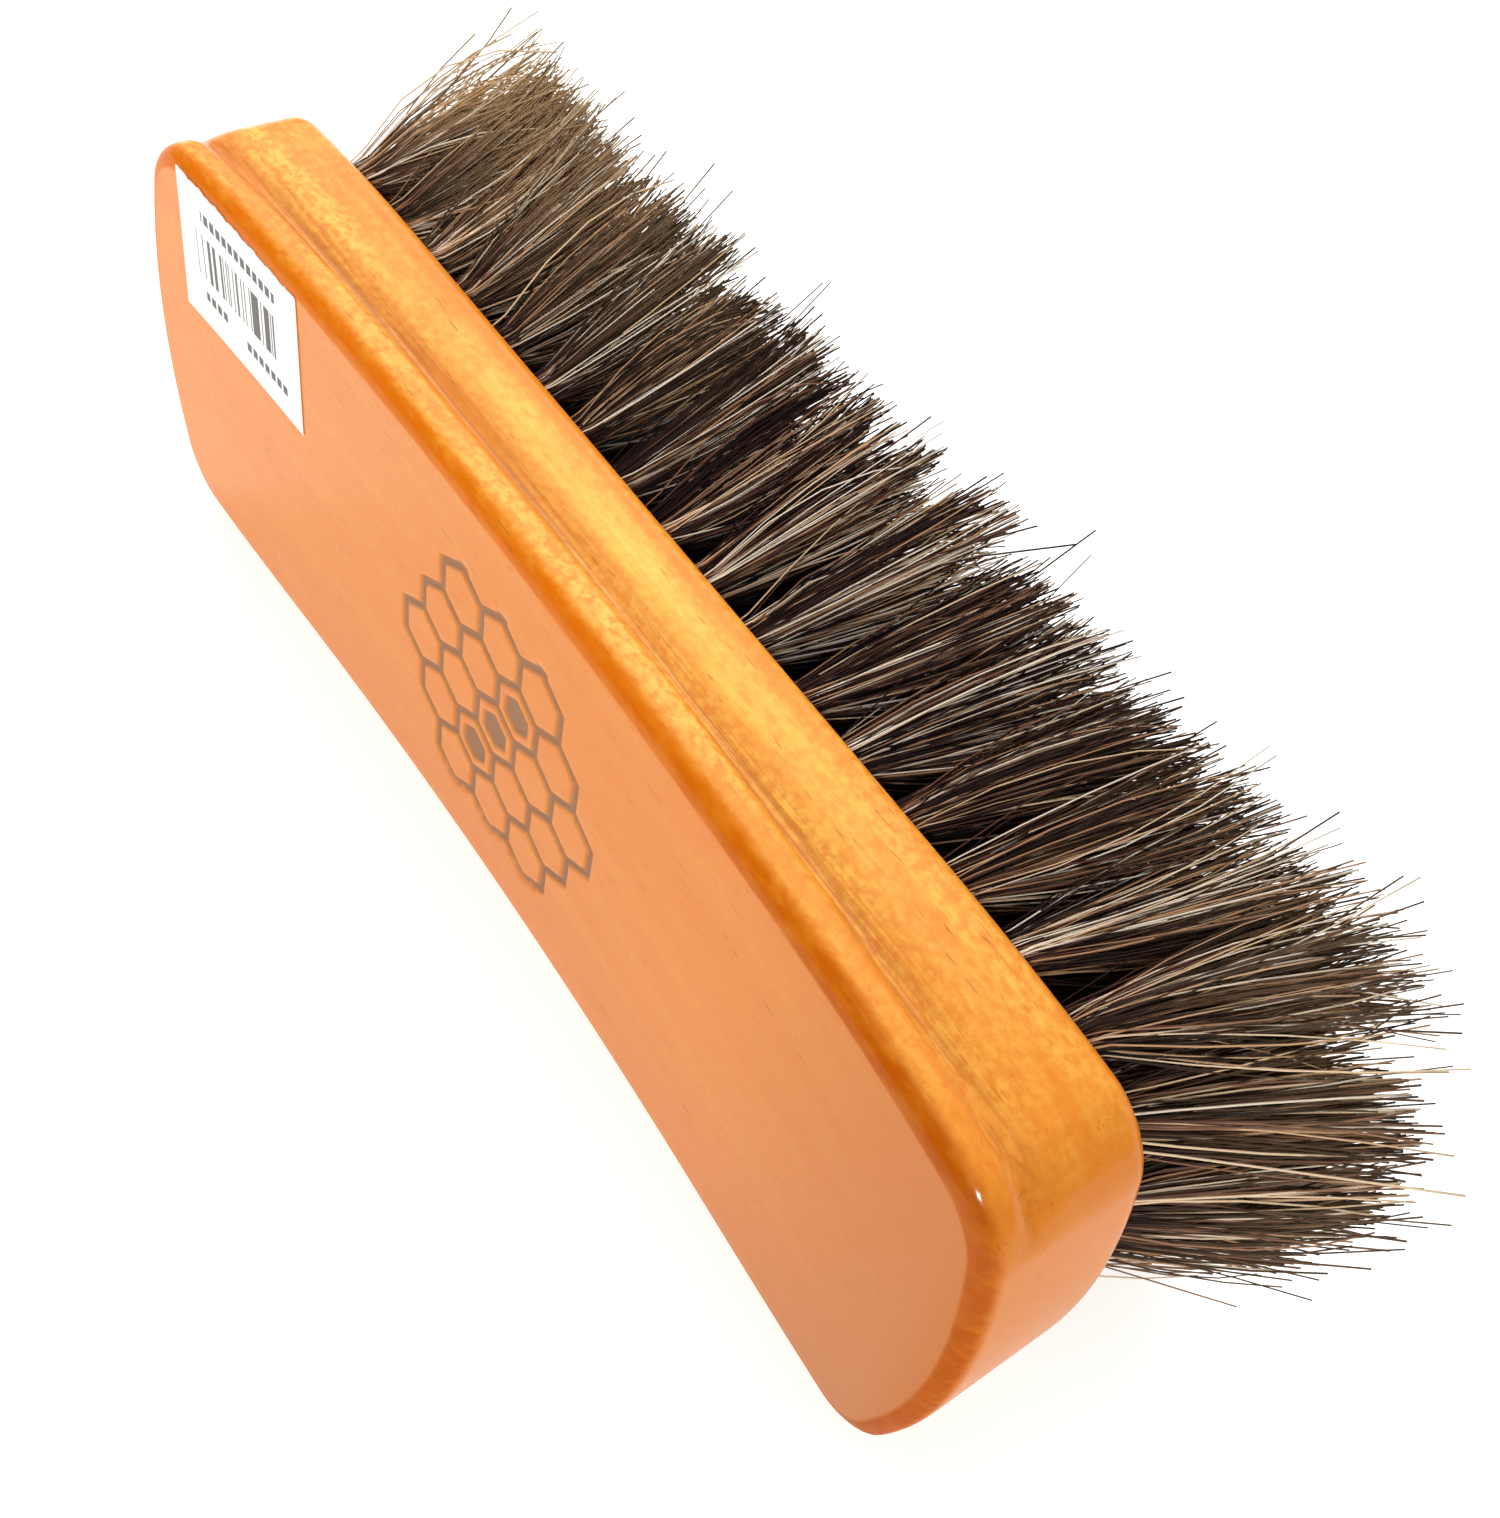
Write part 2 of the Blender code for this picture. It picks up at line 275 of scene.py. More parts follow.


# ---------------------------------------------------------------- materials


# Stained beech under lacquer, as linear colours, among them painted sheen and painted shade
HONEY = (0.73, 0.224, 0.014, 1)
# Bright flecks: partly the wood's figure, partly painted sheen
FLECK_AND_SHEEN = (1.0, 0.56, 0.09, 1)
# Dark orange of the blotches and streaks, and of the round-overs: partly deeper staining, partly painted
# shade
DEEP_STAIN_AND_SHADE = (0.72, 0.165, 0.002, 1)
# Painted shade: the back darkens towards the near end
NEAR_END_SHADE = (0.50, 0.140, 0.008, 1)
# Painted shade on the round-overs towards the near end
EDGE_END_SHADE = (0.42, 0.080, 0.001, 1)
# Painted shade in the finger groove
GROOVE_SHADE = (0.40, 0.105, 0.010, 1)
PORE = (0.48, 0.12, 0.006, 1)
BURNT = (0.36, 0.20, 0.12, 1)
PORE_DEPTH = 0.03 * MM
RIPPLE_DEPTH = 0.05 * MM


def wood_figure(tree, along, facing, pore_share):
    """Colour of the wood: mottles, partly figure and partly painted sheen, on its sides; blotches, streaks
    and pores.
    """
    # Bright bands mostly on the long sides: partly the wood's figure, partly painted sheen
    on_side = mapped(tree, maths(tree, "ABSOLUTE", facing.outputs["Z"]), 0.5, 0.95, 0.12, 1.0)
    # Painted shade: the bright figure fades towards the near corner
    not_corner = mapped(tree, along, 0.72 * HALF_LENGTH, 0.96 * HALF_LENGTH, 1.0, 0.35)
    on_side = maths(tree, "MULTIPLY", on_side, not_corner)
    # Painted sheen: a lighter band along each long side
    painted_sheen = attribute(tree, "painted_sheen")
    mottle = mapped(tree, noise(tree, (900, 1100, 1100), 3, 0.6), 0.30, 0.68, 0.15, 1.0)
    mottle = mixed_value(tree, maths(tree, "MULTIPLY", painted_sheen, 0.55), mottle, 1.0)
    bands = mapped(tree, noise(tree, (14, 200, 200), 2, 0.5), 0.30, 0.70, 0.15, 0.95)
    bands = maths(tree, "MAXIMUM", maths(tree, "MULTIPLY", bands, on_side), painted_sheen)
    blotches = mapped(tree, noise(tree, (70, 330, 330), 2, 0.5), 0.42, 0.68, 0.0, 0.24)
    streaks = mapped(tree, noise(tree, (18, 1500, 1500), 2, 0.6), 0.42, 0.62, 0.0, 0.16)
    colour = mixed(tree, maths(tree, "MULTIPLY", mottle, bands), HONEY, FLECK_AND_SHEEN)
    colour = mixed(tree, blotches, colour, DEEP_STAIN_AND_SHADE)
    colour = mixed(tree, streaks, colour, DEEP_STAIN_AND_SHADE)
    colour = stained_and_shaded(tree, colour, along, facing)
    return mixed(tree, pore_share, colour, PORE)


def stained_and_shaded(tree, colour, along, facing):
    """Painted shade on the back's near end and in the grooves; round-overs partly deeper staining, partly
    painted shade.
    """
    # Painted shade: the back darkens towards the near end
    end_share = mapped(tree, along, 0.4 * HALF_LENGTH, HALF_LENGTH, 0.0, 0.8)
    on_back = mapped(tree, facing.outputs["Y"], -0.95, -0.5, 1.0, 0.2)
    colour = mixed(tree, maths(tree, "MULTIPLY", end_share, on_back), colour, NEAR_END_SHADE)
    ragged = mapped(tree, noise(tree, (260, 700, 700), 2, 0.6), 0.32, 0.62, 0.55, 1.0)
    # Round-overs: partly deeper staining, partly painted shade, deepening towards the near end
    edge_stain_and_shade = mixed(tree, mapped(tree, along, 0, HALF_LENGTH, 0.0, 0.9), DEEP_STAIN_AND_SHADE, EDGE_END_SHADE)
    colour = mixed(tree, maths(tree, "MULTIPLY", attribute(tree, "edge"), ragged), colour, edge_stain_and_shade)
    # Painted shade in the groove, broken into fine streaks
    lines = mapped(tree, noise(tree, (35, 1900, 1900), 2, 0.6), 0.42, 0.62, 0.3, 1.0)
    return mixed(tree, maths(tree, "MULTIPLY", attribute(tree, "groove"), lines), colour, GROOVE_SHADE)


def wood_gloss(tree, along, mark):
    """Weight of the clear lacquer: none on the burnt mark, less on the edges and the near end."""
    dull = maths(tree, "MULTIPLY", attribute(tree, "edge"), 0.35)
    gloss = maths(tree, "SUBTRACT", mapped(tree, along, 0.9 * HALF_LENGTH, HALF_LENGTH, 0.7, 0.45), dull)
    return maths(tree, "MULTIPLY", maths(tree, "SUBTRACT", 1.0, mark), gloss)


def wood_material():
    """Stained beech under clear lacquer, with fine pores, rippled gloss and a burnt-in mark."""
    made, tree, shader = new_material("lacquered_wood")
    along = node(tree, "ShaderNodeSeparateXYZ", {0: scaled_place(tree, (1, 1, 1))}).outputs["X"]
    normal = node(tree, "ShaderNodeNewGeometry").outputs["True Normal"]
    facing = node(tree, "ShaderNodeSeparateXYZ", {0: normal})
    pores = mapped(tree, noise(tree, (330, 3300, 3300), 1, 0.5), 0.66, 0.74)
    sparse = mapped(tree, noise(tree, (60, 400, 400), 1, 0.5), 0.42, 0.58)
    pore_share = maths(tree, "MULTIPLY", maths(tree, "MULTIPLY", pores, sparse), 0.7)
    mark = attribute(tree, "mark")
    grain = bump(tree, maths(tree, "MULTIPLY", pore_share, -1.0), PORE_DEPTH, 0.4)
    ripple = bump(tree, noise(tree, (140, 220, 220), 1, 0.4), RIPPLE_DEPTH, 0.5)
    plug(
        tree, shader,
        Base_Color=mixed(tree, mark, wood_figure(tree, along, facing, pore_share), BURNT),
        Roughness=mapped(tree, mark, 0, 1, 0.42, 0.8),
        Normal=grain,
        Specular_IOR_Level=0.0,
        Coat_Weight=wood_gloss(tree, along, mark),
        Coat_Roughness=0.14,
        Coat_IOR=1.45,
        Coat_Normal=ripple,
    )
    return made


# Horsehair: a tone's colour, from near black to white, then the colours that overlay it
STRAND_TONES = (
    (0.0, (0.008, 0.003, 0.003, 1)),
    (0.48, (0.028, 0.010, 0.009, 1)),
    (0.61, (0.11, 0.045, 0.030, 1)),
    (0.72, (0.30, 0.145, 0.086, 1)),
    (0.82, (0.64, 0.38, 0.20, 1)),
    (0.90, (0.95, 0.72, 0.46, 1)),
    (1.0, (0.97, 0.88, 0.74, 1)),
)
# Lighter tips: partly sun-faded hair, partly painted glow of the light behind them
BLEACHED_AND_BACKLIT = (0.62, 0.42, 0.22, 1)
DARK_TIP = (0.03, 0.014, 0.010, 1)
DEEP_SHADE = (0.004, 0.003, 0.003, 1)


def hair_material():
    """Each strand has its own tone, near black to white; its end darkens, unless lighter: partly sun-faded,
    partly painted backlight glow.
    """
    made, tree, shader = new_material("horsehair")
    ramp = node(tree, "ShaderNodeValToRGB", {"Fac": attribute(tree, "tone")})
    elements = ramp.color_ramp.elements
    while len(elements) < len(STRAND_TONES):
        elements.new(0.5)
    for element, (position, colour) in zip(elements, STRAND_TONES):
        element.position = position
        element.color = colour
    along, bleach_and_glow = attribute(tree, "along"), attribute(tree, "bleach_and_glow")
    # Lighter tips: partly sun-faded, partly painted backlight glow
    lighter_tip = maths(tree, "MULTIPLY", bleach_and_glow, mapped(tree, along, 0.2, 0.85, 0.1, 0.85))
    colour = mixed(tree, lighter_tip, ramp.outputs["Color"], BLEACHED_AND_BACKLIT)
    dark_end = mapped(tree, along, 0.86, 1.0, 0.0, 0.45)
    dark_end = maths(tree, "MULTIPLY", dark_end, maths(tree, "SUBTRACT", 1.0, bleach_and_glow))
    colour = mixed(tree, dark_end, colour, DARK_TIP)
    # Painted shade: strands inside the brush darken towards their roots
    colour = mixed(tree, attribute(tree, "depth"), colour, DEEP_SHADE)
    plug(tree, shader, Base_Color=colour, Roughness=0.5, Specular_IOR_Level=0.12)
    return made


def band(tree, value, low, high):
    """1 where low < value < high, with no soft edge."""
    above = maths(tree, "GREATER_THAN", value, low)
    return maths(tree, "MULTIPLY", above, maths(tree, "LESS_THAN", value, high))


LABEL_INK = (0.03, 0.03, 0.03, 1)
LABEL_PAPER = (0.96, 0.96, 0.95, 1)
PAPER_FIBRE = (0.80, 0.79, 0.76, 1)
FIBRE_DEPTH = 0.01 * MM


def printed_field(tree, along, across, field):
    """1 inside a field of the label: left, right, low and high edge in millimetres."""
    left, right, low, high = (MM * edge for edge in field)
    return maths(tree, "MULTIPLY", band(tree, along, left, right), band(tree, across, low, high))


def label_material():
    """White paper with random bars and rules of plain dashes, all without meaning."""
    made, tree, shader = new_material("label_paper")
    place = node(tree, "ShaderNodeTexCoord").outputs["Object"]
    parts = node(tree, "ShaderNodeSeparateXYZ", {0: place})
    along = maths(tree, "SUBTRACT", parts.outputs["X"], LABEL_LOW.x)
    across = maths(tree, "SUBTRACT", parts.outputs["Z"], LABEL_LOW.z)
    bar_number = maths(tree, "FLOOR", maths(tree, "DIVIDE", along, BAR_WIDTH))
    chance = node(tree, "ShaderNodeTexWhiteNoise", {"W": bar_number}, noise_dimensions="1D").outputs["Value"]
    bars = maths(tree, "GREATER_THAN", chance, BAR_GAPS)
    ink = maths(tree, "MULTIPLY", bars, printed_field(tree, along, across, BAR_FIELD))
    within_dash = maths(tree, "FRACT", maths(tree, "DIVIDE", along, DASH_PITCH))
    dashes = maths(tree, "LESS_THAN", within_dash, DASH_SHARE)
    for rule in LABEL_RULES:
        printed = maths(tree, "MULTIPLY", printed_field(tree, along, across, rule), dashes)
        ink = maths(tree, "MAXIMUM", ink, printed)
    fibres = noise(tree, (1200, 1200, 1200), 3, 0.6)
    paper = mixed(tree, mapped(tree, fibres, 0.3, 0.7, 0.0, 0.06), LABEL_PAPER, PAPER_FIBRE)
    colour = mixed(tree, maths(tree, "MULTIPLY", ink, 0.92), paper, LABEL_INK)
    plug(tree, shader, Base_Color=colour, Roughness=0.55, Normal=bump(tree, fibres, FIBRE_DEPTH, 0.3))
    return made


def steel_material():
    """Drawn wire: fine lines along its length."""
    made, tree, shader = new_material("staple_wire")
    lines = noise(tree, (60, 4000, 4000), 2, 0.6)
    colour = mixed(tree, lines, (0.50, 0.50, 0.48, 1), (0.68, 0.68, 0.66, 1))
    plug(tree, shader, Base_Color=colour, Metallic=1.0, Roughness=mapped(tree, lines, 0.3, 0.7, 0.28, 0.45))
    return made


def floor_material():
    """Pale floor that glows a little, so that it stays white round the object."""
    made, tree, shader = new_material("pale_floor")
    plug(tree, shader, Base_Color=(0.72, 0.715, 0.70, 1), Roughness=0.6)
    plug(tree, shader, Emission_Color=(1.0, 0.985, 0.96, 1), Emission_Strength=0.62)
    return made


# ---------------------------------------------------------------- block


def stepped(end, fine_end, fine_step, plain_step):
    """Stations from 0 to end: fine up to fine_end, plain beyond it."""
    fine = np.linspace(0, fine_end, round(fine_end / fine_step) + 1)
    plain = np.linspace(fine_end, end, round((end - fine_end) / plain_step) + 1)
    return np.concatenate([fine, plain[1:]])


def block_outline(inset):
    """Plan outline as (along, across) points from the +X end round the upper side to the -X end."""
    half_length, half_width = HALF_LENGTH - inset, HALF_WIDTH - inset
    radius = CORNER_RADIUS - inset
    corner_along, corner_across = half_length - radius, half_width - radius
    end = [(half_length, corner_across * (i + 0.5) / END_STEPS) for i in range(END_STEPS)]
    turns = [math.pi / 2 * i / ARC_STEPS for i in range(ARC_STEPS + 1)]
    arc = [(corner_along + radius * math.cos(t), corner_across + radius * math.sin(t)) for t in turns]
    side = [(along, half_width) for along in stepped(corner_along, FINE_HALF_ALONG, FINE_STEP, PLAIN_STEP)]
    quarter = np.array(end + arc + side[-2:0:-1])
    along, across = quarter.T
    past_flat = np.clip((along - FLAT_HALF) / (half_length - FLAT_HALF), 0, None)
    bow = END_BULGE * (across / half_width) ** 2 * (along / half_length) ** 4
    quarter = np.stack([along - bow, across - SIDE_TAPER * past_flat ** 2 * across / half_width], 1)
    return np.concatenate([quarter, [(0.0, half_width)], quarter[::-1] * (-1, 1)])


def groove_sag(along):
    """How much further from the bristle face the groove is than in the middle."""
    return GROOVE_SAG * (along / HALF_LENGTH) ** 2


def groove_share(along, deep):
    """The groove's depth at a place on the side, as a share of GROOVE_DEPTH."""
    level = deep - groove_sag(along)
    ramp = np.clip((level - GROOVE_WALL_DEEP + GROOVE_RUN) / GROOVE_RUN, 0, 1)
    wall = smooth_step(GROOVE_WALL_DEEP + GROOVE_WALL_SOFT, GROOVE_WALL_DEEP - GROOVE_WALL_SOFT, level)
    fade = 1 - (1 - GROOVE_END_SHARE) * smooth_step(0.5, 0.95, np.abs(along) / HALF_LENGTH)
    return ramp ** GROOVE_CURVE * wall * fade


def painted_sheen_share(along, deep):
    """The painted sheen along the side: a lighter band of the figure, strongest at the middle."""
    level = np.abs(deep - PAINTED_SHEEN_DEEP - 0.4 * groove_sag(along)) / PAINTED_SHEEN_HALF
    across_length = smooth_step(0.85, 0.2, np.abs(along - PAINTED_SHEEN_MIDDLE) / HALF_LENGTH)
    return smooth_step(1.0, 0.2, level) * across_length


def block_rings():
    """Half rings as (along, across, deep) arrays with each ring's edge darkening (deeper staining and
    painted shade), face first.
    """
    rings = []
    for turn in np.linspace(0, math.pi / 2, FACE_EDGE_STEPS + 1):
        outline = block_outline(EDGE_RADIUS * (1 - math.sin(turn)))
        stain_and_shade = 0.45 * float(smooth_step(1.3, 0.6, turn))
        rings.append((outline, np.full(len(outline), EDGE_RADIUS * (1 - math.cos(turn))), stain_and_shade))
    outline = block_outline(0)
    bead_start = GROOVE_WALL_DEEP + GROOVE_WALL_SOFT + groove_sag(outline[:, 0])
    for share in np.linspace(0, 1, SIDE_STEPS + 1)[1:]:
        rings.append((outline, EDGE_RADIUS + (bead_start - EDGE_RADIUS) * share, 0.0))
    bead_end = thickness_at(outline[:, 0]) - EDGE_RADIUS
    for share in np.linspace(0, 1, BEAD_STEPS + 1)[1:-1]:
        rings.append((outline, bead_start + (bead_end - bead_start) * share, 0.0))
    for turn in np.linspace(0, math.pi / 2, BACK_EDGE_STEPS + 1):
        outline = block_outline(EDGE_RADIUS * (1 - math.cos(turn)))
        stain_and_shade = float(smooth_step(0.0, 0.6, turn) * (1 - smooth_step(1.42, math.pi / 2, turn)))
        rings.append((outline, thickness_at(outline[:, 0]) - EDGE_RADIUS * (1 - math.sin(turn)), stain_and_shade))
    return rings


def grooved(outline, deep):
    """The outline drawn in by the groove, which fades out round the corners, and how far."""
    run = unit(np.gradient(outline, axis=0))
    outward = np.stack([-run[:, 1], run[:, 0]], 1)
    outward *= np.sign(outward[:, 1:] + 1e-9)
    share = groove_share(outline[:, 0], deep) * smooth_step(0.3, 0.85, outward[:, 1])
    return outline - outward * GROOVE_DEPTH * share[:, None], share


def mark_mask(along, across):
    """1 inside the burnt lines of the honeycomb, 0 outside, over arrays of points."""
    mask = np.zeros_like(along)
    for row, count in enumerate(MARK_ROWS):
        for column in range(count):
            x = along - MARK_CENTRE[0] - (column - (count - 1) / 2) * 2 * CELL_INRADIUS
            z = across - MARK_CENTRE[1] - (row - len(MARK_ROWS) // 2) * math.sqrt(3) * CELL_INRADIUS
            turned = [np.abs(x * math.cos(t) + z * math.sin(t)) for t in (0, math.pi / 3, -math.pi / 3)]
            reach = np.maximum.reduce(turned)
            off_line = np.abs(reach - CELL_INRADIUS) - MARK_LINE / 2
            if (row, column) in MARK_FILLED:
                off_line = np.minimum(off_line, reach - CELL_INRADIUS + 1.6 * MARK_LINE)
            mask = np.maximum(mask, 1 - smooth_step(-MARK_SOFT, MARK_SOFT, off_line))
    return mask


def add_face_with_holes(bm, rim):
    """Fills the bristle face between the rim and the tuft holes, and sinks each hole."""
    edges = [bm.edges.get((a, b)) for a, b in zip(rim, rim[1:] + rim[:1])]
    holes = []
    for row in range(ROWS):
        for along in tuft_alongs(row):
            circle = []
            for i in range(HOLE_SIDES):
                angle = math.tau * i / HOLE_SIDES
                x, z = along + HOLE_RADIUS * math.cos(angle), row_z(row) + HOLE_RADIUS * math.sin(angle)
                circle.append(bm.verts.new((x, FACE_Y, z)))
            edges += [bm.edges.new(pair) for pair in zip(circle, circle[1:] + circle[:1])]
            holes.append(circle)
    bmesh.ops.triangle_fill(bm, edges=edges, use_beauty=True, normal=(0, 1, 0))
    for circle in holes:
        deep = [bm.verts.new(v.co - Vector((0, HOLE_DEPTH, 0))) for v in circle]
        for i in range(HOLE_SIDES):
            j = (i + 1) % HOLE_SIDES
            bm.faces.new((circle[i], circle[j], deep[j], deep[i]))
        bm.faces.new(deep)


def side_points(rings):
    """The rings' points all round the block, and the layers of numbers that its finish reads."""
    points = []
    layers = {"mark": [], "edge": [], "groove": [], "painted_sheen": []}
    for outline, deep, stain_and_shade in rings:
        shaped, groove = grooved(outline, deep)
        upper = np.stack([shaped[:, 0], FACE_Y - deep, MIDDLE_Z + shaped[:, 1]], 1)
        lower = (upper * (1, 1, -1) + (0, 0, 2 * MIDDLE_Z))[::-1]
        points.append(np.concatenate([upper, lower]))
        painted_sheen = painted_sheen_share(outline[:, 0], deep)
        layers["mark"].append(np.zeros(2 * len(outline)))
        layers["edge"].append(np.full(2 * len(outline), stain_and_shade))
        layers["groove"].append(np.concatenate([groove, groove[::-1]]))
        layers["painted_sheen"].append(np.concatenate([painted_sheen, painted_sheen[::-1]]))
    return points, layers


def back_points(outline):
    """A grid over the back, fine where the mark is, and the mark, which is sunk into it."""
    fine = stepped(1.0, FINE_HALF_ACROSS / HALF_WIDTH, FINE_STEP / HALF_WIDTH, PLAIN_STEP / HALF_WIDTH)
    shares = np.concatenate([fine[::-1], -fine[1:]])[1:-1]
    along = np.repeat(outline[:, 0][:, None], len(shares), 1)
    across = outline[:, 1][:, None] * shares[None, :]
    mark = mark_mask(along, across)
    deep = thickness_at(along) - MARK_DEPTH * mark
    return np.stack([along, FACE_Y - deep, MIDDLE_Z + across], 2), mark


def ring_faces(rings, count):
    """Quads between each ring of count points and the next ring."""
    return [
        (base + i, base + (i + 1) % count, base + count + (i + 1) % count, base + count + i)
        for base in range(0, (rings - 1) * count, count) for i in range(count)
    ]


def back_faces(last_ring, half, columns):
    """Faces of the back's grid, which shares its rim with the last ring of 2 * half points."""
    grid = last_ring + 2 * half

    def vertex(i, j):
        """The grid's first and last columns are the last ring's own points."""
        if j < 0:
            return last_ring + i
        if j >= columns:
            return grid - 1 - i
        return grid + i * columns + j

    faces = [
        (vertex(i, j), vertex(i + 1, j), vertex(i + 1, j + 1), vertex(i, j + 1))
        for i in range(half - 1) for j in range(-1, columns)
    ]
    return faces + [[vertex(i, j) for j in range(-1, columns + 1)] for i in (0, half - 1)]


def make_block():
    """The block as one mesh: rings round its sides, a grid on its back, holes in its face."""
    rings = block_rings()
    half = len(rings[0][0])
    points, layers = side_points(rings)
    back, mark = back_points(rings[-1][0])
    points.append(back.reshape(-1, 3))
    layers["mark"].append(mark.reshape(-1))
    for name in ("edge", "groove", "painted_sheen"):
        layers[name].append(np.zeros(mark.size))
    faces = ring_faces(len(rings), 2 * half)
    faces += back_faces((len(rings) - 1) * 2 * half, half, mark.shape[1])
    mesh = bpy.data.meshes.new("lacquered_block")
    mesh.from_pydata(np.concatenate(points).tolist(), [], faces)
    for name, values in layers.items():
        layer = mesh.attributes.new(name, "FLOAT", "POINT")
        layer.data.foreach_set("value", np.concatenate(values).astype(np.float32))
    bm = bmesh.new()
    bm.from_mesh(mesh)
    bm.verts.ensure_lookup_table()
    add_face_with_holes(bm, [bm.verts[i] for i in range(2 * half)])
    bmesh.ops.recalc_face_normals(bm, faces=bm.faces)
    bm.to_mesh(mesh)
    bm.free()
    mesh.shade_smooth()
    mesh.set_sharp_from_angle(angle=math.radians(50))
    add_piece("lacquered_block", mesh, wood_material(), "lacquered_wood", "handle_block")


def add_piece(name, mesh, finish, slot, *nodes):
    """A piece with its finish, on the brush's one body, in place of the frame's nodes."""
    mesh.materials.append(finish)
    made = bpy.data.objects.new(name, mesh)
    bpy.context.scene.collection.objects.link(made)
    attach(made, "root")
    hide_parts(*nodes)
    return made


# ---------------------------------------------------------------- label


def back_y(along, across):
    """The back surface, with its round-over along the long sides."""
    over = np.clip(np.abs(across) - (HALF_WIDTH - EDGE_RADIUS), 0, EDGE_RADIUS)
    drop = EDGE_RADIUS - np.sqrt(EDGE_RADIUS ** 2 - over ** 2)
    return FACE_Y - thickness_at(along) + drop


def make_label():
    """A paper sheet that lies on the saddle and bends a little over the round-over.

    Its far edge slants, its lower edge rises a little towards the near end, and its upper edge is
    slightly torn.
    """
    columns, rows = LABEL_STEPS
    u, v = np.meshgrid(np.linspace(0, 1, columns + 1), np.linspace(0, 1, rows + 1), indexing="ij")
    along = LABEL_LOW.x + (LABEL_HIGH.x - LABEL_LOW.x) * u + MM * (0.4 + 0.9 * v) * (1 - u)
    waves = sum(height * np.sin(rate * u + shift) for height, rate, shift in LABEL_WAVES)
    across = LABEL_LOW.z - MIDDLE_Z + (LABEL_HIGH.z - LABEL_LOW.z) * v + MM * (0.9 + waves) * v ** 8
    across += MM * (0.8 - 0.2 * (1 - u)) * (1 - v)
    y = back_y(along, across) - LABEL_LIFT
    points = np.stack([along, y, MIDDLE_Z + across], 2).reshape(-1, 3)
    faces = [
        (i * (rows + 1) + j, (i + 1) * (rows + 1) + j, (i + 1) * (rows + 1) + j + 1, i * (rows + 1) + j + 1)
        for i in range(columns) for j in range(rows)
    ]
    mesh = bpy.data.meshes.new("label_sheet")
    mesh.from_pydata(points.tolist(), [], faces)
    mesh.update()
    if mesh.polygons[0].normal.y > 0:
        mesh.flip_normals()
    mesh.shade_smooth()
    label = add_piece("label_sheet", mesh, label_material(), "label_paper", "price_label")
    sheet = label.modifiers.new("paper", "SOLIDIFY")
    sheet.thickness = LABEL_THICKNESS
    sheet.offset = 1


# ---------------------------------------------------------------- hair


def staple_middle(row, number):
    """Middle of a staple of the frame, counted from 0 at the far end."""
    low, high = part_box(f"staple_{row + 1}_{number + 1:02d}")
    return (low + high) / 2


def tuft_count(row):
    """The highest number among the row's staples: the frame always holds its last one."""
    numbers = [int(name[-2:]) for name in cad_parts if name.startswith(f"staple_{row + 1}_")]
    return max(numbers)


def tuft_alongs(row):
    """Places of the row's tufts along the block, evenly spaced."""
    count = tuft_count(row)
    return np.linspace(staple_middle(row, 0).x, staple_middle(row, count - 1).x, count)


def row_z(row):
    """Height of the row's holes."""
    return staple_middle(row, 0).z


def tip_centre(row, along):
    """Where the middle of a tuft's tips is: fanned along the row, rows evenly spread across."""
    last = tuft_alongs(row)[-1]
    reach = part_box(f"hair_row_{row + 1}")[1].x - TIP_SPREAD * 0.8
    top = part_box("hair_row_1")[1].z - TIP_SPREAD * 0.8
    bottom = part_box(f"hair_row_{ROWS}")[0].z + TIP_SPREAD * 0.8
    return along * reach / last, top + (bottom - top) * row / (ROWS - 1)


def sunflower(count):
    """Points spread evenly over the unit disc."""
    index = np.arange(count) + 0.5
    reach, turn = np.sqrt(index / count), index * GOLDEN_ANGLE
    return np.stack([reach * np.cos(turn), reach * np.sin(turn)], 1)


def random_disc(draw, total):
    """Points strewn at random over the unit disc."""
    reach, turn = np.sqrt(draw.uniform(0, 1, total)), draw.uniform(0, math.tau, total)
    return np.stack([reach * np.cos(turn), reach * np.sin(turn)], 1)


def strand_groups(row, draw):
    """Each strand's tuft and wisp, how near either end of the brush it is, and if it is loose."""
    tufts = tuft_count(row)
    in_tuft = STRANDS_IN_ROW // tufts
    total = tufts * in_tuft
    alongs = np.repeat(tuft_alongs(row), in_tuft)
    tuft = np.repeat(np.arange(tufts), in_tuft)
    far = np.clip(-alongs / tuft_alongs(row)[-1], 0, 1) ** 3
    near = np.clip(alongs / tuft_alongs(row)[-1], 0, 1) ** 3
    wisp = draw.integers(0, WISPS, total)
    place = (sunflower(WISPS)[None] + draw.normal(0, WISP_SHIFT, (tufts, WISPS, 2)))[tuft, wisp]
    loose = draw.uniform(0, 1, total) < LOOSE_SHARE + FAR_LOOSE * far + NEAR_LOOSE * near
    stray = draw.uniform(0, 1, total) < STRAY_SHARE
    return SimpleNamespace(
        tufts=tufts, total=total, alongs=alongs, tuft=tuft, wisp=wisp, place=place,
        far=far, near=near, loose=loose, stray=stray,
    )


